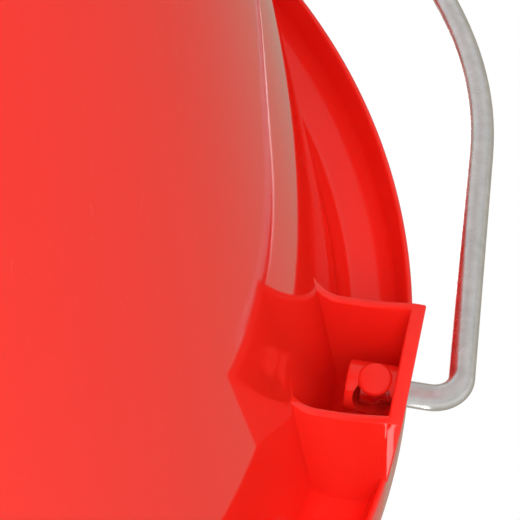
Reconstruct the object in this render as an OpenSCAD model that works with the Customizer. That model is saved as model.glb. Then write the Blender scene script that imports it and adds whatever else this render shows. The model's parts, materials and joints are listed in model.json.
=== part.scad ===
// Wash bucket: a tapered plastic pail with a skirted rim, two moulded ears,
// a sprung wire bail and a loose hand grip.
// Origin: centre of the base, +Z towards the open mouth, ears on the X axis.

/* [Bucket] */
// Outside diameter of the rim skirt
rim_d = 310; // [250:1:380]
// Height from the base to the top of the rim
body_h = 270; // [200:1:340]
// Thickness of the side wall
wall_t = 2; // [1.6:0.1:3]
// Thickness of the floor
floor_t = 2.6; // [2:0.1:4]
// Slope of the side wall from the vertical, in degrees
draft = 10; // [4:0.5:12]
// Radius of the rounded edge around the base
base_round = 4; // [2:0.5:6]
// Depth of the ring-shaped recess under the base
recess_h = 1.5; // [0.8:0.1:2.5]

/* [Rim] */
// Thickness of the flat flange that joins the wall to the skirt
flange_t = 2.5; // [2:0.1:4]
// Depth of the channel between the wall and the skirt
channel_h = 9.3; // [6:0.1:16]
// Width of the channel at its mouth
channel_w = 13; // [9:0.5:18]
// Thickness of the skirt at its top
skirt_t = 2.5; // [1.8:0.1:3.5]
// Thickness of the skirt at its free edge
skirt_edge_t = 1.4; // [1:0.1:1.8]

/* [Ears] */
// Width of each ear around the rim
ear_w = 28.8; // [24:0.2:40]
// How far the ear plate reaches below the skirt
ear_drop = 19.1; // [16:0.1:26]
// How far the ear plate leans out past the rim at its free edge
ear_proud = 1.6; // [1:0.1:3]
// Thickness of the ear plate
plate_t = 2.9; // [2:0.1:4]
// Thickness of the ribs at both sides of an ear
rib_t = 1.8; // [1.4:0.1:2.6]
// Height of the hollow in the free edge of each rib
rib_dip = 1.6; // [0:0.1:4]
// Height of the bail's pivot below the skirt
pivot_drop = 8.9; // [8:0.1:11]
// Wall around the pivot socket
socket_wall = 2.1; // [1.2:0.1:2.5]
// Depth of the pivot socket behind the ear plate
socket_depth = 8.4; // [6:0.1:10]
// Diameter of the window in the socket
window_d = 7.4; // [4:0.1:7.8]
// Diameter of the round pad on the socket
pad_d = 6.8; // [4:0.1:7.4]

/* [Bail] */
// Diameter of the bail wire
wire_d = 5.2; // [4:0.1:6]
// Clearance around the wire in its socket
pivot_play = 0.3; // [0.15:0.05:0.6]
// Distance from the ear plate to the middle of the bail's leg
leg_gap = 9.3; // [8:0.1:14]
// Inward lean of the bail's legs, in degrees
leg_lean = 5; // [0:0.5:10]
// Radius of the elbow beside the ear
elbow_r = 5.6; // [5:0.1:7]
// Radius of the bail's shoulders
shoulder_r = 97; // [60:1:120]
// Slope of the bail where its shoulders end, in degrees
shoulder_end = 24; // [15:1:40]
// Space between the grip and the rim when the bail swings past
rim_clear = 2.8; // [2:0.1:20]
// Height of the bail above level as it rests, in degrees
bail_rest = 6; // [0:1:12]

/* [Grip] */
// Outside diameter of the hand grip
grip_d = 20; // [16:0.5:26]
// Length of the hand grip
grip_l = 80; // [70:1:110]
// Clearance around the wire inside the grip
grip_play = 0.4; // [0.2:0.05:1]

/* [Hidden] */
$fn = 96;
WIRE_FN = 32;
ARC_STEPS = 4;
EDGE_STEPS = 12;
BITE = 0.8;
SPLICE_L = 1;
SPLICE_PROUD = 0.05;
SPLICE_GAP = 0.05;

// Heights and radii of the bucket
rim_r = rim_d / 2;
flange_z = body_h - flange_t;
skirt_z = flange_z - channel_h;
skirt_in = rim_r - skirt_t;
mouth_wall_r = skirt_in - channel_w;
function outer_r(z) = mouth_wall_r + (z - skirt_z) * tan(draft);
function inner_r(z) = outer_r(z) - wall_t / cos(draft);
foot_r = outer_r(0);
floor_z = recess_h + floor_t;
foot_ring = 8;
centre_pad_r = 30;
rim_round = 1;
root_round = 5;
root_x = root_round * (cos(draft) - (1 - sin(draft)) * tan(draft));
corner_round = 4;
floor_round = 5;

// Ears
ear_z = skirt_z - ear_drop;
ear_face = rim_r + ear_proud;
plate_in = ear_face - plate_t;
plate_top_x = rim_r - 0.4;
plate_sunk = 1.5;
pivot_z = skirt_z - pivot_drop;
bore_r = wire_d / 2 + pivot_play;
socket_r = bore_r + socket_wall;
socket_end = plate_in - socket_depth - 1.5;
tip_gap = 1;
window_x = plate_in - socket_depth / 2 - 0.2;
window_turn = 62;
pad_turn = 13;
pad_proud = 0.4;
rib_root_h = 2.4;
rib_root_l = 3;

// Bail, in its own plane: x across the bucket, y away from the pivot axis
wire_r = wire_d / 2;
tip_x = plate_in - socket_depth + tip_gap;
leg_x = ear_face + leg_gap;
elbow_turn = 90 + leg_lean;
elbow_x = leg_x - elbow_r * tan(elbow_turn / 2);
flat_half = grip_l / 2 + 2;
reach = norm([rim_r, body_h - pivot_z]) + grip_d / 2 + rim_clear;
crown_rise = (1 - sin(shoulder_end)) / cos(shoulder_end);
shoulder_in = shoulder_r * (cos(leg_lean) - cos(shoulder_end));
shoulder_up = shoulder_r * (sin(shoulder_end) - sin(leg_lean));
leg_l = (reach - shoulder_up - crown_rise * (leg_x - shoulder_in - flat_half))
    / (cos(leg_lean) - crown_rise * sin(leg_lean));
function along(a) = [-sin(a), cos(a)];
function outward(a) = [cos(a), sin(a)];
leg_top = [leg_x, 0] + leg_l * along(leg_lean);
elbow_c = [elbow_x, elbow_r];
leg_foot = elbow_c + elbow_r * outward(leg_lean);
shoulder_c = leg_top - shoulder_r * outward(leg_lean);
crown_start = shoulder_c + shoulder_r * outward(shoulder_end);
crown_r = (crown_start[0] - flat_half) / cos(shoulder_end);
crown_c = crown_start - crown_r * outward(shoulder_end);

// Points of an arc about c, from angle a0 to a1
function arc(c, r, a0, a1) =
    [for (i = [0:ARC_STEPS]) c + r * outward(a0 + (a1 - a0) * i / ARC_STEPS)];

// Half section of the shell, turned about Z
function shell_section() = concat(
    [[0, 0], [centre_pad_r, 0], [centre_pad_r + recess_h, recess_h]],
    [[foot_r - foot_ring - recess_h, recess_h], [foot_r - foot_ring, 0]],
    arc([foot_r - base_round, base_round], base_round, -90, -draft),
    arc([outer_r(flange_z) + root_x, flange_z - root_round], root_round, 180 - draft, 90),
    arc([skirt_in - corner_round, flange_z - corner_round], corner_round, 90, 0),
    [[rim_r - skirt_edge_t, skirt_z], [rim_r, skirt_z]],
    arc([rim_r - rim_round, body_h - rim_round], rim_round, 0, 90),
    arc([inner_r(body_h) + rim_round, body_h - rim_round], rim_round, 90, 180 - draft),
    arc([inner_r(floor_z) - floor_round, floor_z + floor_round], floor_round, -draft, -90),
    [[0, floor_z]]
);

// Free edge of a rib: a shallow hollow, with a horn where it runs up to the wall
function rib_edge_z(t) = ear_z + rib_dip * 4 * t * (1 - t);

module rib_section() {
    root_x = outer_r(ear_z);
    span = plate_in - root_x;
    polygon(concat(
        [for (i = [0:EDGE_STEPS])
            let (t = i / EDGE_STEPS, x = plate_in + BITE - t * (span - rib_root_l))
            [x, rib_edge_z(t)]],
        [[root_x - BITE, ear_z - rib_root_h]],
        [[outer_r(flange_z) - BITE, flange_z + BITE], [skirt_in + BITE, flange_z + BITE]]
    ));
}

// The plate hangs from the skirt and leans out towards its free edge
module plate_section() {
    polygon([
        [plate_in, ear_z],
        [ear_face, ear_z],
        [plate_top_x, skirt_z + plate_sunk],
        [plate_top_x - plate_t, skirt_z + plate_sunk]
    ]);
}

// Stands a section drawn in X and Z upright, as thick as t, with its far face at y
module upright(y, t) {
    translate([0, y, 0])
        rotate([90, 0, 0])
            linear_extrude(t)
                children();
}

// Places its child on the pivot socket, pointing out at an angle from straight down
module on_socket(x, turn) {
    translate([x, 0, pivot_z])
        rotate([180 - turn, 0, 0])
            children();
}

module ear_solid() {
    upright(ear_w / 2, ear_w)
        plate_section();
    upright(ear_w / 2, rib_t)
        rib_section();
    upright(rib_t - ear_w / 2, rib_t)
        rib_section();
    translate([socket_end, 0, pivot_z])
        rotate([0, 90, 0])
            cylinder(r = socket_r, h = plate_in + BITE - socket_end);
}

module ear_holes() {
    translate([plate_in - socket_depth, 0, pivot_z])
        rotate([0, 90, 0])
            cylinder(r = bore_r, h = socket_depth + plate_t + BITE);
    on_socket(window_x, window_turn)
        cylinder(d = window_d, h = socket_r + BITE);
}

module ear_pad() {
    on_socket(window_x, pad_turn)
        translate([0, 0, bore_r + pivot_play])
            cylinder(d = pad_d, h = socket_r + pad_proud - bore_r - pivot_play);
}

module bucket_shell() {
    color([0.89, 0.1, 0.07]) {
        difference() {
            union() {
                rotate_extrude($fn = 180)
                    polygon(shell_section());
                ear_solid();
                mirror([1, 0, 0])
                    ear_solid();
            }
            ear_holes();
            mirror([1, 0, 0])
                ear_holes();
        }
        ear_pad();
        mirror([1, 0, 0])
            ear_pad();
    }
}

// A bend of the wire, its two ends a hair short of the stretches it joins
module wire_arc(c, r, a0, a1) {
    short = SPLICE_GAP / r * 180 / PI;
    translate([c[0], c[1], 0])
        rotate([0, 0, a0 + short])
            rotate_extrude(angle = a1 - a0 - 2 * short)
                translate([r, 0])
                    circle(wire_r, $fn = WIRE_FN);
}

// A straight stretch of the wire, shortened in the same way
module wire_run(p, q) {
    step = q - p;
    translate([p[0], p[1], 0])
        rotate([0, 0, atan2(step[1], step[0])])
            rotate([0, 90, 0])
                translate([0, 0, SPLICE_GAP])
                    cylinder(r = wire_r, h = norm(step) - 2 * SPLICE_GAP, $fn = WIRE_FN);
}

// A sleeve that joins a bend to a stretch, too slightly proud to see
module splice(p, heading) {
    translate([p[0], p[1], 0])
        rotate([0, 0, heading])
            rotate([0, 90, 0])
                cylinder(r = wire_r + SPLICE_PROUD, h = SPLICE_L, center = true, $fn = WIRE_FN);
}

module bail_side() {
    wire_run([tip_x, 0], [elbow_x, 0]);
    splice([elbow_x, 0], 0);
    wire_arc(elbow_c, elbow_r, -90, leg_lean);
    splice(leg_foot, 90 + leg_lean);
    wire_run(leg_foot, leg_top);
    splice(leg_top, 90 + leg_lean);
    wire_arc(shoulder_c, shoulder_r, leg_lean, shoulder_end);
    splice(crown_start, 90 + shoulder_end);
    wire_arc(crown_c, crown_r, shoulder_end, 90);
    splice([flat_half, reach], 180);
}

// Turns a shape drawn in the bail's plane to where the bail rests
module at_rest() {
    translate([0, 0, pivot_z])
        rotate([bail_rest, 0, 0])
            children();
}

module bail_wire() {
    color([0.74, 0.75, 0.77])
        at_rest() {
            bail_side();
            mirror([1, 0, 0])
                bail_side();
            wire_run([-flat_half, reach], [flat_half, reach]);
        }
}

module hand_grip() {
    end_r = 2.5;
    grip_r = grip_d / 2;
    half = grip_l / 2;
    color([0.08, 0.08, 0.085])
        at_rest()
            translate([0, reach, 0])
                rotate([0, 90, 0])
                    rotate_extrude()
                        polygon(concat(
                            [[wire_r + grip_play, -half]],
                            arc([grip_r - end_r, end_r - half], end_r, -90, 0),
                            arc([grip_r - end_r, half - end_r], end_r, 0, 90),
                            [[wire_r + grip_play, half]]
                        ));
}

bucket_shell();
bail_wire();
hand_grip();
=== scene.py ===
import json
import math

import bpy
from mathutils import Matrix, Vector


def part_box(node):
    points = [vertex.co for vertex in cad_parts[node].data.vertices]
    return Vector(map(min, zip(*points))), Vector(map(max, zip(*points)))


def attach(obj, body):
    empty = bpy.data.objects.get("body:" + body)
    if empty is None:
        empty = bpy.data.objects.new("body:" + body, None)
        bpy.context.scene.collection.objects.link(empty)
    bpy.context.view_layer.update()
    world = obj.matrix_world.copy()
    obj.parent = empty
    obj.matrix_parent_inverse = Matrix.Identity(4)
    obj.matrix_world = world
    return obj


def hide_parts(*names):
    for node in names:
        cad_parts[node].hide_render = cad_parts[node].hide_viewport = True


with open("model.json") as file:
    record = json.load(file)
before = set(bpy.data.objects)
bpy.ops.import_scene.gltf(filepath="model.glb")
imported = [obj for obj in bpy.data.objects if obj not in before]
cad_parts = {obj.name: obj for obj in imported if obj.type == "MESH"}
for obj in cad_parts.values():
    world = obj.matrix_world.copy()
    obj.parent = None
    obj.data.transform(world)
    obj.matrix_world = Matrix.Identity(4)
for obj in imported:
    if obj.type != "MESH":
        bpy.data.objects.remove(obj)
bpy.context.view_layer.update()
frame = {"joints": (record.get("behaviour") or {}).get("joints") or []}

MM = 0.001
NEAR = 0.01 * MM  # points closer than this count as level with each other

# ---------------------------------------------------------------- sizes
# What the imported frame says
SHELL_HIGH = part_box("bucket_shell")[1]
GRIP_LOW, GRIP_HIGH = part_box("hand_grip")
JOINTS = {joint["name"]: joint for joint in frame["joints"]}
PIVOT = Vector(JOINTS["bail_swing"]["pos_m"])
GRIP_CENTRE = Vector(JOINTS["grip_spin"]["pos_m"])
RIM_R = SHELL_HIGH.y
BODY_H = SHELL_HIGH.z
EAR_FACE = SHELL_HIGH.x
GRIP_R = (GRIP_HIGH.z - GRIP_LOW.z) / 2
GRIP_HALF = (GRIP_HIGH.x - GRIP_LOW.x) / 2

# The bucket, as in the CAD but for a finer skirt edge and a rounder outer corner
WALL_T = 2 * MM
DRAFT = math.radians(10)
FLOOR_T = 2.6 * MM
RECESS_H = 1.5 * MM
BASE_ROUND = 4 * MM
FLANGE_T = 2.5 * MM
CHANNEL_H = 9.3 * MM
CHANNEL_W = 13 * MM
SKIRT_T = 2.5 * MM
SKIRT_EDGE = 1.2 * MM
ROOT_ROUND = 5 * MM
CORNER_ROUND = 4.5 * MM
LIP_ROUND = 1 * MM
AXIS_R = 1 * MM  # the section starts and ends here, on a small flat disc
FLANGE_Z = BODY_H - FLANGE_T
SKIRT_Z = FLANGE_Z - CHANNEL_H
SKIRT_IN = RIM_R - SKIRT_T
CENTRE_PAD_R = 30 * MM
FOOT_RING = 8 * MM
FLOOR_ROUND = 5 * MM

# The ears
EAR_W = 28.8 * MM
EAR_Z = SKIRT_Z - 19.1 * MM
PLATE_T = 2.9 * MM
PLATE_IN = EAR_FACE - PLATE_T
RIB_T = 1.8 * MM
RIB_DIP = 1.5 * MM
RIB_HORN = 2 * MM
RIB_ROUND = 0.3 * MM
RIB_BITE = 1.2 * MM
FLANGE_BITE = 1 * MM
PLATE_BITE = 0.4 * MM
EDGE_ROUND = 0.4 * MM
PLATE_TOP_X = RIM_R - 0.4 * MM
PLATE_SUNK = 1.5 * MM
SOCKET_R = 5 * MM
CHAMBER_R = 3.6 * MM
BORE_R = 2.9 * MM
SOCKET_DEPTH = 8.4 * MM
SOCKET_FLOOR = 1.5 * MM
SOCKET_END = PLATE_IN - SOCKET_DEPTH - SOCKET_FLOOR
CHAMBER_LIP = 1.6 * MM
WINDOW_X = PLATE_IN - SOCKET_DEPTH / 2 - 0.2 * MM
WINDOW_R = 3.8 * MM
WINDOW_TURN = math.radians(62)
WINDOW_REACH = 8 * MM
PAD_R = 3.4 * MM
PAD_TURN = math.radians(13)
PAD_FOOT = CHAMBER_R + 0.3 * MM
PAD_TOP = SOCKET_R + 0.4 * MM
PAD_ROUND = 0.9 * MM
PAST = 1 * MM  # how far a bar runs past the face it joins or cuts

# The bail
WIRE_R = 2.6 * MM
HEAD_R = 3.1 * MM
HEAD_TIP = 0.8  # radius of the head's flat end, as a share of HEAD_R
HEAD_TIP_L = 0.5 * MM
HEAD_L = 3.2 * MM
HEAD_NECK_L = 1 * MM
TIP_X = PLATE_IN - SOCKET_DEPTH + 1 * MM
LEG_X = EAR_FACE + 9.3 * MM
LEG_LEAN = math.radians(5)
ELBOW_R = 5.6 * MM
SHOULDER_R = 97 * MM
SHOULDER_END = math.radians(24)
FLAT_HALF = GRIP_HALF + 2 * MM
REACH = (GRIP_CENTRE - PIVOT).length
REST_TILT = math.atan2(GRIP_CENTRE.z - PIVOT.z, GRIP_CENTRE.y - PIVOT.y)

# The grip
GRIP_BORE_R = WIRE_R + 0.4 * MM
GRIP_END_ROUND = 1.6 * MM
GROOVES = 10
GROOVE_INSET = 8 * MM
GROOVE_DEPTH = 0.7 * MM

# Sides of what is round
RING = 360
BAR_SIDES = 64
WIRE_SIDES = 40
GRIP_SIDES = 96
BORE_SIDES = 48


def outer_r(z):
    """Outside radius of the wall at height z."""
    return SKIRT_IN - CHANNEL_W + (z - SKIRT_Z) * math.tan(DRAFT)


def inner_r(z):
    """Inside radius of the wall at height z."""
    return outer_r(z) - WALL_T / math.cos(DRAFT)


def wall_z(radius):
    """Height at which the outside of the wall has this radius."""
    return SKIRT_Z + (radius - (SKIRT_IN - CHANNEL_W)) / math.tan(DRAFT)


# ---------------------------------------------------------------- modelling helpers
def deselect():
    """Back to Object Mode with nothing selected."""
    if bpy.context.mode != "OBJECT":
        bpy.ops.object.mode_set(mode="OBJECT")
    bpy.ops.object.select_all(action="DESELECT")


def settle(name):
    """Names the active object and puts its place into its mesh."""
    piece = bpy.context.object
    piece.name = name
    piece.data.name = name
    bpy.ops.object.transform_apply(location=True, rotation=True, scale=True)
    return piece


def pick(piece):
    """Selects one piece alone and makes it the active one."""
    deselect()
    piece.select_set(True)
    bpy.context.view_layer.objects.active = piece


def apply_modifier(piece, kind, **settings):
    """Adds a modifier with these settings and makes its result the mesh."""
    pick(piece)
    modifier = piece.modifiers.new(kind.title(), kind)
    for key, value in settings.items():
        setattr(modifier, key, value)
    bpy.ops.object.modifier_apply(modifier=modifier.name)


def select_points(piece, wanted):
    """Goes into Edit Mode with just the points selected that wanted() says yes to."""
    pick(piece)
    mesh = piece.data
    for vertex in mesh.vertices:
        vertex.select = wanted(vertex.co)
    for edge in mesh.edges:
        edge.select = all(mesh.vertices[i].select for i in edge.vertices)
    for face in mesh.polygons:
        face.select = all(mesh.vertices[i].select for i in face.vertices)
    bpy.ops.object.mode_set(mode="EDIT")


def arc(centre, radius, start, end, steps):
    """Points (r, z) of an arc about centre, angles in degrees."""
    points = []
    for i in range(steps + 1):
        angle = math.radians(start + (end - start) * i / steps)
        across, up = radius * math.cos(angle), radius * math.sin(angle)
        points.append((centre[0] + across, centre[1] + up))
    return points


def turned(name, section, segments):
    """A closed solid turned about Z: a disc drawn out from one station of the section to the next."""
    deselect()
    radius, height = section[0]
    bpy.ops.mesh.primitive_circle_add(
        vertices=segments, radius=radius, fill_type="NGON", location=(0, 0, height))
    piece = settle(name)
    bpy.ops.object.mode_set(mode="EDIT")
    bpy.ops.mesh.select_all(action="SELECT")
    for next_radius, next_height in section[1:]:
        bpy.ops.mesh.extrude_region_move(
            TRANSFORM_OT_translate={"value": (0, 0, next_height - height)})
        factor = next_radius / radius
        bpy.ops.transform.resize(value=(factor, factor, 1), center_override=(0, 0, 0))
        radius, height = next_radius, next_height
    bpy.ops.mesh.select_all(action="SELECT")
    bpy.ops.mesh.normals_make_consistent(inside=False)
    deselect()
    return piece


def smooth(piece, degrees=32):
    """Shades smooth across edges that bend less than this."""
    pick(piece)
    bpy.ops.object.shade_smooth_by_angle(angle=math.radians(degrees))


def merge(target, tool, operation):
    """Joins tool to target or cuts it out of target, then throws tool away."""
    apply_modifier(target, "BOOLEAN", operation=operation, object=tool, solver="EXACT")
    bpy.data.objects.remove(tool, do_unlink=True)


# ---------------------------------------------------------------- bucket shell
def shell_section():
    """Half section of the bucket: under the base, up the outside, round the rim, down the inside."""
    root_x = ROOT_ROUND * (math.cos(DRAFT) - (1 - math.sin(DRAFT)) * math.tan(DRAFT))
    draft = math.degrees(DRAFT)
    foot_r = outer_r(0)
    floor_z = RECESS_H + FLOOR_T
    wall_low = BASE_ROUND
    wall_high = EAR_Z - 8 * MM
    under_channel = SKIRT_Z - 6 * MM
    section = [(AXIS_R, 0), (CENTRE_PAD_R, 0), (CENTRE_PAD_R + RECESS_H, RECESS_H)]
    section += [(foot_r - FOOT_RING - RECESS_H, RECESS_H), (foot_r - FOOT_RING, 0)]
    section += arc((foot_r - BASE_ROUND, BASE_ROUND), BASE_ROUND, -90, -draft, 8)
    for part in (0.25, 0.5, 0.75, 1):
        z = wall_low + part * (wall_high - wall_low)
        section += [(outer_r(z), z)]
    section += [(outer_r(under_channel), under_channel)]
    root = (outer_r(FLANGE_Z) + root_x, FLANGE_Z - ROOT_ROUND)
    section += arc(root, ROOT_ROUND, 180 - draft, 90, 8)
    section += arc((SKIRT_IN - CORNER_ROUND, FLANGE_Z - CORNER_ROUND), CORNER_ROUND, 90, 0, 8)
    edge = SKIRT_EDGE / 2
    section += arc((RIM_R - edge, SKIRT_Z + edge), edge, -175, 0, 8)
    section += arc((RIM_R - LIP_ROUND, BODY_H - LIP_ROUND), LIP_ROUND, 0, 90, 6)
    mouth = (inner_r(BODY_H) + LIP_ROUND, BODY_H - LIP_ROUND)
    section += arc(mouth, LIP_ROUND, 90, 180 - draft, 6)
    for part in (0.75, 0.5, 0.25):
        section += [(inner_r(part * BODY_H), part * BODY_H)]
    corner = (inner_r(floor_z) - FLOOR_ROUND, floor_z + FLOOR_ROUND)
    section += arc(corner, FLOOR_ROUND, -draft, -90, 8)
    section += [(AXIS_R, floor_z)]
    return section


def rib_edge(along):
    """Height of a rib's free edge, for along from 0 at the plate to 1 at the wall."""
    rise_end = 0.55
    horn_start = 0.72
    horn_length = 0.28
    horn_curve = 2.4
    rise = RIB_DIP * math.sin(math.pi / 2 * min(1, along / rise_end))
    drop = max(0, along - horn_start) / horn_length
    return EAR_Z + rise - (RIB_DIP + RIB_HORN) * drop ** horn_curve


def rib_top(x):
    """Top of a rib at x: sunk into the flange, or into the wall where the wall leans over it."""
    return min(FLANGE_Z + FLANGE_BITE, wall_z(x + RIB_BITE))


def rib(name, y_low, y_high):
    """One side rib of the ear at +X, drawn out step by step from the plate to inside the wall."""
    steps = 28
    x0 = PLATE_IN + PLATE_BITE
    x1 = outer_r(EAR_Z) - RIB_BITE
    deselect()
    bpy.ops.mesh.primitive_plane_add(size=1, location=(0, 0, 0))
    piece = settle(name)
    bpy.ops.object.mode_set(mode="EDIT")
    bpy.ops.mesh.select_mode(type="VERT")
    bpy.ops.mesh.select_all(action="SELECT")
    bpy.ops.mesh.merge(type="CENTER")
    bpy.ops.transform.translate(value=(x0, y_low, rib_edge(0)))
    bpy.ops.mesh.extrude_region_move(
        TRANSFORM_OT_translate={"value": (0, 0, rib_top(x0) - rib_edge(0))})
    bpy.ops.mesh.select_all(action="SELECT")
    for i in range(1, steps + 1):
        last, now = (i - 1) / steps, i / steps
        previous = x0 + (x1 - x0) * last
        newest = x0 + (x1 - x0) * now
        middle = (rib_edge(last) + rib_top(previous)) / 2
        bpy.ops.mesh.extrude_region_move(
            TRANSFORM_OT_translate={"value": ((x1 - x0) / steps, 0, 0)})
        select_points(piece, lambda co: abs(co.x - newest) < NEAR and co.z > middle)
        bpy.ops.transform.translate(value=(0, 0, rib_top(newest) - rib_top(previous)))
        select_points(piece, lambda co: abs(co.x - newest) < NEAR and co.z < middle)
        bpy.ops.transform.translate(value=(0, 0, rib_edge(now) - rib_edge(last)))
        select_points(piece, lambda co: abs(co.x - newest) < NEAR)
    bpy.ops.mesh.select_all(action="SELECT")
    bpy.ops.mesh.extrude_region_move(
        TRANSFORM_OT_translate={"value": (0, y_high - y_low, 0)})
    bpy.ops.mesh.select_all(action="SELECT")
    bpy.ops.mesh.normals_make_consistent(inside=False)
    deselect()
    apply_modifier(piece, "BEVEL", width=RIB_ROUND, segments=2, limit_method="ANGLE",
                   angle_limit=math.radians(50))
    return piece


def peg(name, radius, start, end, turn, bevel=0.0):
    """A round bar out from the pivot line at WINDOW_X, turned from straight down towards -Y."""
    deselect()
    direction = Vector((0, -math.sin(turn), -math.cos(turn)))
    middle = Vector((WINDOW_X, 0, PIVOT.z)) + direction * (start + end) / 2
    bpy.ops.mesh.primitive_cylinder_add(
        vertices=BAR_SIDES, radius=radius, depth=end - start, location=middle,
        rotation=direction.to_track_quat("Z", "Y").to_euler())
    piece = settle(name)
    if bevel:
        apply_modifier(piece, "BEVEL", width=bevel, segments=4, limit_method="ANGLE")
    return piece


def pivot_bar(name, radius, x_low, x_high, bevel=0.0):
    """A round bar along the pivot line."""
    deselect()
    bpy.ops.mesh.primitive_cylinder_add(
        vertices=BAR_SIDES, radius=radius, depth=x_high - x_low,
        location=((x_low + x_high) / 2, 0, PIVOT.z), rotation=(0, math.pi / 2, 0))
    piece = settle(name)
    if bevel:
        apply_modifier(piece, "BEVEL", width=bevel, segments=3, limit_method="ANGLE")
    return piece


def plate():
    """Hangs from the skirt and leans out towards its free edge."""
    half = EAR_W / 2
    top = SKIRT_Z + PLATE_SUNK
    low, high = Vector((PLATE_IN, -half, EAR_Z)), Vector((EAR_FACE, half, top))
    deselect()
    bpy.ops.mesh.primitive_cube_add(size=1, location=(low + high) / 2, scale=high - low)
    piece = settle("ears")
    select_points(piece, lambda co: co.z > top - NEAR)
    bpy.ops.transform.translate(value=(PLATE_TOP_X - EAR_FACE, 0, 0))
    deselect()
    apply_modifier(piece, "BEVEL", width=EDGE_ROUND, segments=3, limit_method="ANGLE")
    return piece


def ear():
    """Both ears: plate, two ribs and the pivot socket with its window and round pad."""
    half = EAR_W / 2
    blind_end = PLATE_IN - SOCKET_DEPTH
    body = plate()
    merge(body, rib("rib_far", half - RIB_T, half), "UNION")
    merge(body, rib("rib_near", -half, RIB_T - half), "UNION")
    merge(body, pivot_bar("socket", SOCKET_R, SOCKET_END, PLATE_IN + PAST, EDGE_ROUND), "UNION")
    merge(body, pivot_bar("bore", BORE_R, blind_end, EAR_FACE + PAST), "DIFFERENCE")
    merge(body, pivot_bar("chamber", CHAMBER_R, blind_end, PLATE_IN - CHAMBER_LIP), "DIFFERENCE")
    merge(body, peg("window", WINDOW_R, 0, WINDOW_REACH, WINDOW_TURN), "DIFFERENCE")
    merge(body, peg("pad", PAD_R, PAD_FOOT, PAD_TOP, PAD_TURN, PAD_ROUND), "UNION")
    apply_modifier(body, "MIRROR", use_axis=(True, False, False), use_clip=False)
    return body


def bucket_shell():
    """The turned body with both ears joined on."""
    shell = turned("bucket", shell_section(), RING)
    merge(shell, ear(), "UNION")
    smooth(shell)
    return shell


# ---------------------------------------------------------------- bail and grip
def bail():
    """The wire: one ring of points pushed and spun along the right half, then mirrored."""
    deselect()
    bpy.ops.mesh.primitive_circle_add(
        vertices=WIRE_SIDES, radius=HEAD_TIP * HEAD_R, fill_type="NGON",
        location=(TIP_X, 0, 0), rotation=(0, math.pi / 2, 0))
    piece = settle("bail")
    elbow_x = LEG_X - ELBOW_R * math.tan((math.pi / 2 + LEG_LEAN) / 2)
    rise = (1 - math.sin(SHOULDER_END)) / math.cos(SHOULDER_END)
    shoulder_in = SHOULDER_R * (math.cos(LEG_LEAN) - math.cos(SHOULDER_END))
    shoulder_up = SHOULDER_R * (math.sin(SHOULDER_END) - math.sin(LEG_LEAN))
    leg = (REACH - shoulder_up - rise * (LEG_X - shoulder_in - FLAT_HALF)) / (
        math.cos(LEG_LEAN) - rise * math.sin(LEG_LEAN))
    up = Vector((-math.sin(LEG_LEAN), math.cos(LEG_LEAN), 0))
    out = Vector((math.cos(LEG_LEAN), math.sin(LEG_LEAN), 0))
    leg_top = Vector((LEG_X, 0, 0)) + up * leg
    elbow_centre = Vector((elbow_x, ELBOW_R, 0))
    leg_foot = elbow_centre + out * ELBOW_R
    shoulder_centre = leg_top - out * SHOULDER_R
    crown_out = Vector((math.cos(SHOULDER_END), math.sin(SHOULDER_END), 0))
    crown_start = shoulder_centre + crown_out * SHOULDER_R
    crown_r = (crown_start.x - FLAT_HALF) / math.cos(SHOULDER_END)
    crown_centre = crown_start - crown_out * crown_r

    bpy.ops.object.mode_set(mode="EDIT")
    bpy.ops.mesh.select_mode(type="FACE")
    bpy.ops.mesh.select_all(action="SELECT")

    def push(vector):
        bpy.ops.mesh.extrude_region_move(TRANSFORM_OT_translate={"value": vector})

    def bend(centre, angle, steps):
        bpy.ops.mesh.spin(steps=steps, angle=-angle, center=centre, axis=(0, 0, 1))

    def resize(factor, x):
        bpy.ops.transform.resize(value=(1, factor, factor), center_override=(x, 0, 0))

    # The pressed head: its blunt end, its full width, then down to the wire
    head = ((HEAD_TIP_L, 1 / HEAD_TIP), (HEAD_L, 1), (HEAD_NECK_L, WIRE_R / HEAD_R))
    x = TIP_X
    for step, factor in head:
        push((step, 0, 0))
        x += step
        resize(factor, x)
    push((elbow_x - x, 0, 0))
    bend(elbow_centre, math.pi / 2 + LEG_LEAN, 18)
    push(leg_top - leg_foot)
    bend(shoulder_centre, SHOULDER_END - LEG_LEAN, 10)
    bend(crown_centre, math.pi / 2 - SHOULDER_END, 32)
    push((-FLAT_HALF, 0, 0))
    bpy.ops.mesh.delete(type="FACE")
    bpy.ops.mesh.select_all(action="SELECT")
    bpy.ops.mesh.remove_doubles(threshold=0.001 * MM)
    bpy.ops.mesh.normals_make_consistent(inside=False)
    deselect()
    apply_modifier(piece, "MIRROR", use_axis=(True, False, False), use_mirror_merge=True,
                   merge_threshold=NEAR)
    place_in_bail_plane(piece)
    smooth(piece, 40)
    return piece


def place_in_bail_plane(piece):
    """Turns a piece drawn flat to the bail's resting tilt and moves it to the pivot line."""
    piece.matrix_world = Matrix.Translation(PIVOT) @ Matrix.Rotation(REST_TILT, 4, "X")
    pick(piece)
    bpy.ops.object.transform_apply(location=True, rotation=True, scale=True)


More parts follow.
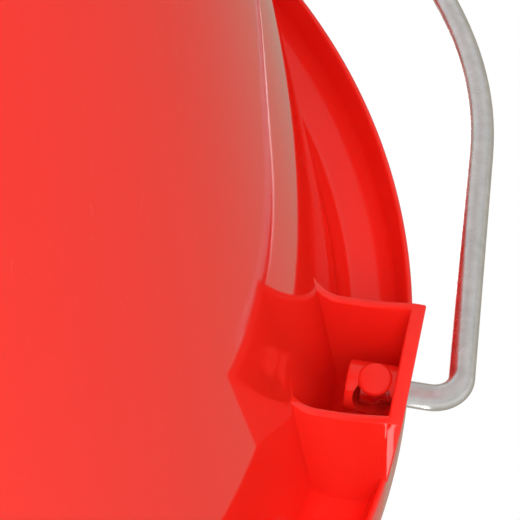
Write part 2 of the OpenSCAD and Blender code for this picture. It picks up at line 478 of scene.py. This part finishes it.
def grip_section():
    """Half section of the grip's outside: rounded ends and a row of soft-edged grooves."""
    end = GRIP_END_ROUND
    flank_r = GRIP_R - 0.15 * MM
    groove_r = GRIP_R - GROOVE_DEPTH
    section = [(GRIP_BORE_R, -GRIP_HALF)]
    section += arc((GRIP_R - end, end - GRIP_HALF), end, -90, 0, 5)
    pitch = 2 * (GRIP_HALF - GROOVE_INSET) / (GROOVES - 1)
    for i in range(GROOVES):
        middle = -GRIP_HALF + GROOVE_INSET + pitch * i
        section += [(GRIP_R, middle - 1.3 * MM), (flank_r, middle - 0.9 * MM),
                    (groove_r, middle - 0.4 * MM), (groove_r, middle + 0.4 * MM),
                    (flank_r, middle + 0.9 * MM), (GRIP_R, middle + 1.3 * MM)]
    section += arc((GRIP_R - end, GRIP_HALF - end), end, 0, 90, 5)
    section += [(GRIP_BORE_R, GRIP_HALF)]
    return section


def hand_grip():
    """A tube turned about Z, laid along X at the middle of the bail."""
    piece = turned("grip", grip_section(), GRIP_SIDES)
    bore = turned("grip_bore", [(GRIP_BORE_R, -GRIP_HALF - PAST),
                                (GRIP_BORE_R, GRIP_HALF + PAST)], BORE_SIDES)
    piece.rotation_euler = bore.rotation_euler = (0, math.pi / 2, 0)
    for part in (piece, bore):
        pick(part)
        bpy.ops.object.transform_apply(rotation=True)
        part.matrix_world = Matrix.Translation((0, REACH, 0))
        bpy.ops.object.transform_apply(location=True)
    merge(piece, bore, "DIFFERENCE")
    place_in_bail_plane(piece)
    smooth(piece, 30)
    return piece


# ---------------------------------------------------------------- materials
def new_group(name, inputs, outputs):
    """A shader node group with plain number sockets."""
    tree = bpy.data.node_groups.new(name, "ShaderNodeTree")
    for label, value in inputs.items():
        socket = tree.interface.new_socket(
            name=label, in_out="INPUT", socket_type="NodeSocketFloat")
        socket.default_value = value
    for label in outputs:
        tree.interface.new_socket(name=label, in_out="OUTPUT", socket_type="NodeSocketFloat")
    return tree, tree.nodes.new("NodeGroupInput"), tree.nodes.new("NodeGroupOutput")


def preset(node, **values):
    """Sets a node's input values; an underscore in a name stands for a space."""
    for key, value in values.items():
        node.inputs[key.replace("_", " ")].default_value = value


def math_node(tree, operation, first, second):
    """Output of a Math node; first and second are numbers or come from other nodes."""
    node = tree.nodes.new("ShaderNodeMath")
    node.operation = operation
    for socket, value in zip(node.inputs, (first, second)):
        if isinstance(value, (int, float)):
            socket.default_value = value
        else:
            tree.links.new(value, socket)
    return node.outputs["Value"]


def soft_ramp(tree, value, low, high):
    """0 below low, 1 above high, and an even S-shaped rise between them."""
    ramp = tree.nodes.new("ShaderNodeMapRange")
    ramp.interpolation_type = "SMOOTHSTEP"
    preset(ramp, From_Min=low, From_Max=high)
    tree.links.new(value, ramp.inputs["Value"])
    return ramp.outputs["Result"]


def mottle_group():
    """Cloudy change over the surface, from Low to High."""
    tree, given, result = new_group(
        "mottle", {"Scale": 20, "Stretch": 1, "Low": 0, "High": 1}, ("Value",))
    place = tree.nodes.new("ShaderNodeTexCoord")
    mapping = tree.nodes.new("ShaderNodeMapping")
    stretch = tree.nodes.new("ShaderNodeCombineXYZ")
    noise = tree.nodes.new("ShaderNodeTexNoise")
    preset(noise, Detail=4, Roughness=0.55)
    spread = tree.nodes.new("ShaderNodeMapRange")
    preset(spread, From_Min=0.3, From_Max=0.7)
    links = tree.links
    preset(stretch, X=1, Y=1)
    links.new(given.outputs["Stretch"], stretch.inputs["Z"])
    links.new(place.outputs["Object"], mapping.inputs["Vector"])
    links.new(stretch.outputs["Vector"], mapping.inputs["Scale"])
    links.new(mapping.outputs["Vector"], noise.inputs["Vector"])
    links.new(given.outputs["Scale"], noise.inputs["Scale"])
    links.new(noise.outputs["Fac"], spread.inputs["Value"])
    links.new(given.outputs["Low"], spread.inputs["To Min"])
    links.new(given.outputs["High"], spread.inputs["To Max"])
    links.new(spread.outputs["Result"], result.inputs["Value"])
    return tree


def scuff_group():
    """Fine short scratches in patches: 0 where clean, Amount in a scratch, twice it in a crossing."""
    tree, given, result = new_group("scuffs", {"Scale": 60, "Amount": 1}, ("Mask",))
    links = tree.links
    place = tree.nodes.new("ShaderNodeTexCoord")
    line_scale = 10
    patch_scale = 0.2
    total = 0
    for turn, offset in ((0.5, 0.0), (-0.9, 3.7)):
        mapping = tree.nodes.new("ShaderNodeMapping")
        preset(mapping, Rotation=(turn, turn * 0.7, turn * 1.3), Location=(offset, offset, 0),
               Scale=(1, 1, 0.04))
        lines = tree.nodes.new("ShaderNodeTexNoise")
        preset(lines, Detail=1)
        links.new(place.outputs["Object"], mapping.inputs["Vector"])
        links.new(mapping.outputs["Vector"], lines.inputs["Vector"])
        links.new(math_node(tree, "MULTIPLY", given.outputs["Scale"], line_scale),
                  lines.inputs["Scale"])
        ramp = soft_ramp(tree, lines.outputs["Fac"], 0.70, 0.78)
        total = math_node(tree, "ADD", total, ramp)
    patches = tree.nodes.new("ShaderNodeTexNoise")
    preset(patches, Detail=2)
    links.new(place.outputs["Object"], patches.inputs["Vector"])
    links.new(math_node(tree, "MULTIPLY", given.outputs["Scale"], patch_scale),
              patches.inputs["Scale"])
    kept = math_node(tree, "MULTIPLY", total, soft_ramp(tree, patches.outputs["Fac"], 0.46, 0.68))
    links.new(math_node(tree, "MULTIPLY", kept, given.outputs["Amount"]), result.inputs["Mask"])
    return tree


def material(name, **values):
    """A material with one Principled shader: the material, its node tree and the shader."""
    finish = bpy.data.materials.new(name)
    finish.use_nodes = True
    shader = finish.node_tree.nodes["Principled BSDF"]
    preset(shader, **values)
    return finish, finish.node_tree, shader


def use(tree, group, **values):
    """Puts a group into a material with its own values."""
    node = tree.nodes.new("ShaderNodeGroup")
    node.node_tree = group
    preset(node, **values)
    return node.outputs[0]


def blend(tree, factor, first, second):
    """Colour between two colours; a colour may also come from another node."""
    mix = tree.nodes.new("ShaderNodeMix")
    mix.data_type = "RGBA"
    tree.links.new(factor, mix.inputs["Factor"])
    colour_a, colour_b = mix.inputs[6], mix.inputs[7]
    for socket, colour in ((colour_a, first), (colour_b, second)):
        if isinstance(colour, tuple):
            socket.default_value = (*colour, 1)
        else:
            tree.links.new(colour, socket)
    return mix.outputs[2]


def raise_surface(tree, shader, height, distance, strength):
    """Shades the surface as if it rose by distance where height is 1."""
    bump = tree.nodes.new("ShaderNodeBump")
    preset(bump, Strength=strength, Distance=distance)
    tree.links.new(height, bump.inputs["Height"])
    tree.links.new(bump.outputs["Normal"], shader.inputs["Normal"])


def red_plastic(mottle, scuffs):
    """Glossy moulded polypropylene: slow flow streaks up the wall, light scuffs, a faint ripple."""
    finish, tree, shader = material(
        "red_plastic", IOR=1.49, Subsurface_Weight=0.4, Subsurface_Scale=0.008,
        Subsurface_Radius=(1.0, 0.10, 0.06))
    links = tree.links
    flow = use(tree, mottle, Scale=14, Stretch=0.25, Low=0, High=1)
    scratch = use(tree, scuffs, Scale=90, Amount=0.12)
    tone = blend(tree, flow, (0.80, 0.014, 0.008), (0.86, 0.020, 0.012))
    links.new(blend(tree, scratch, tone, (0.90, 0.10, 0.07)), shader.inputs["Base Color"])
    gloss = use(tree, mottle, Scale=35, Stretch=0.6, Low=0.03, High=0.06)
    links.new(math_node(tree, "ADD", gloss, math_node(tree, "MULTIPLY", scratch, 0.35)),
              shader.inputs["Roughness"])
    ripple = use(tree, mottle, Scale=45, Stretch=0.5, Low=0, High=1)
    raise_surface(tree, shader, math_node(tree, "SUBTRACT", ripple, scratch), 0.05 * MM, 0.15)
    return finish


def galvanised_wire(mottle, scuffs):
    """Zinc-coated steel: patchy greys, dull and bright spots, fine pits."""
    finish, tree, shader = material("galvanised_wire", Metallic=1.0)
    links = tree.links
    patches = use(tree, mottle, Scale=160, Stretch=1, Low=0, High=1)
    grime = use(tree, mottle, Scale=420, Stretch=1, Low=0, High=0.5)
    tone = blend(tree, patches, (0.76, 0.785, 0.83), (0.90, 0.92, 0.96))
    links.new(blend(tree, grime, tone, (0.60, 0.60, 0.60)), shader.inputs["Base Color"])
    gloss = use(tree, mottle, Scale=260, Stretch=1, Low=0.20, High=0.30)
    scratch = use(tree, scuffs, Scale=120, Amount=0.25)
    links.new(math_node(tree, "ADD", gloss, scratch), shader.inputs["Roughness"])
    pits = use(tree, mottle, Scale=700, Stretch=1, Low=0, High=1)
    raise_surface(tree, shader, pits, 0.05 * MM, 0.25)
    return finish


def black_plastic(mottle, scuffs):
    """Satin grip plastic with a fine moulded grain and dusty grey patches."""
    finish, tree, shader = material("black_plastic")
    links = tree.links
    dust = use(tree, mottle, Scale=90, Stretch=1, Low=0, High=1)
    scratch = use(tree, scuffs, Scale=80, Amount=0.6)
    tone = blend(tree, dust, (0.012, 0.012, 0.013), (0.030, 0.029, 0.028))
    links.new(blend(tree, scratch, tone, (0.10, 0.10, 0.10)), shader.inputs["Base Color"])
    gloss = use(tree, mottle, Scale=200, Stretch=1, Low=0.38, High=0.55)
    links.new(gloss, shader.inputs["Roughness"])
    grain = use(tree, mottle, Scale=2200, Stretch=1, Low=0, High=1)
    raise_surface(tree, shader, grain, 0.08 * MM, 0.6)
    return finish


def dress(piece, finish):
    """Gives a piece its one material."""
    piece.data.materials.clear()
    piece.data.materials.append(finish)


# ---------------------------------------------------------------- stage
LIGHT_SIDE = Vector((-0.45, -0.45, -0.75))
EAR_AIM = (-0.15, 0, 0.25)


def floor():
    """Seen from above only, so that the camera can look up through it."""
    deselect()
    bpy.ops.mesh.primitive_plane_add(size=6)
    piece = settle("floor")
    finish, tree, shader = material("floor", Base_Color=(0.88, 0.90, 0.95, 1), Roughness=0.9)
    clear = tree.nodes.new("ShaderNodeBsdfTransparent")
    side = tree.nodes.new("ShaderNodeNewGeometry")
    mix = tree.nodes.new("ShaderNodeMixShader")
    tree.links.new(side.outputs["Backfacing"], mix.inputs["Fac"])
    tree.links.new(shader.outputs["BSDF"], mix.inputs[1])
    tree.links.new(clear.outputs["BSDF"], mix.inputs[2])
    tree.links.new(mix.outputs["Shader"], tree.nodes["Material Output"].inputs["Surface"])
    dress(piece, finish)
    piece.visible_shadow = False
    piece.visible_diffuse = False


def surroundings():
    """White to the eye; as a light it is brighter towards LIGHT_SIDE and duller away from it."""
    world = bpy.data.worlds.new("studio")
    bpy.context.scene.world = world
    world.use_nodes = True
    tree = world.node_tree
    links = tree.links
    place = tree.nodes.new("ShaderNodeTexCoord")
    towards = tree.nodes.new("ShaderNodeVectorMath")
    towards.operation = "DOT_PRODUCT"
    towards.inputs[1].default_value = LIGHT_SIDE
    links.new(place.outputs["Generated"], towards.inputs[0])
    bright = soft_ramp(tree, towards.outputs["Value"], -0.5, 0.45)
    shade = blend(tree, bright, (0.42, 0.38, 0.31), (0.76, 0.73, 0.68))
    eye = tree.nodes.new("ShaderNodeLightPath")
    links.new(blend(tree, eye.outputs["Is Camera Ray"], shade, (1.0, 1.0, 1.0)),
              tree.nodes["Background"].inputs["Color"])


def lamp(name, place, size, power, aim=(0, 0, 0.2), mirrored=True):
    """A soft square light that points at aim; mirrored says whether glossy surfaces reflect it."""
    data = bpy.data.lights.new(name, "AREA")
    data.size = size
    data.energy = power
    holder = bpy.data.objects.new(name, data)
    bpy.context.scene.collection.objects.link(holder)
    look = Vector(aim) - Vector(place)
    holder.matrix_world = (
        Matrix.Translation(place) @ look.to_track_quat("-Z", "Y").to_matrix().to_4x4())
    holder.visible_glossy = mirrored


def camera():
    """Looks up at the ear at -X from below and in front, the bucket's base towards the top."""
    away = 834.4 * MM
    azimuth = math.radians(9.245)
    rise = math.radians(53.295)
    roll = math.radians(178.346)
    aim = Vector((-122.88 * MM, 19.62 * MM, SKIRT_Z - 17.74 * MM))
    look = Vector((math.sin(azimuth) * math.cos(rise), math.cos(azimuth) * math.cos(rise),
                   math.sin(rise)))
    data = bpy.data.cameras.new("camera")
    data.sensor_width = 36
    data.lens = 296.5
    data.clip_start = 0.01
    holder = bpy.data.objects.new("camera", data)
    bpy.context.scene.collection.objects.link(holder)
    holder.matrix_world = (
        Matrix.Translation(aim - look * away)
        @ Matrix.Rotation(roll, 4, look)
        @ look.to_track_quat("-Z", "Y").to_matrix().to_4x4()
    )
    bpy.context.scene.camera = holder


# ---------------------------------------------------------------- putting it together
camera()
surroundings()
floor()
lamp("low_left", (-1.3, -1.2, -0.9), 2.0, 2, EAR_AIM, mirrored=False)
lamp("low_right", (0.8, -1.3, -1.1), 2.0, 6, EAR_AIM, mirrored=False)
lamp("low_middle", (-0.27, -0.70, -0.72), 0.6, 9, EAR_AIM, mirrored=False)
lamp("high_front", (0.4, -1.6, 1.8), 1.2, 12)
lamp("high_back", (1.4, 1.2, 1.9), 1.6, 16)
bpy.context.scene.view_settings.view_transform = "Standard"

mottle = mottle_group()
scuffs = scuff_group()

shell = bucket_shell()
dress(shell, red_plastic(mottle, scuffs))
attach(shell, "bucket")
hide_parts("bucket_shell")

wire = bail()
dress(wire, galvanised_wire(mottle, scuffs))
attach(wire, "bail")
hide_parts("bail_wire")

grip = hand_grip()
dress(grip, black_plastic(mottle, scuffs))
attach(grip, "grip")
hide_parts("hand_grip")
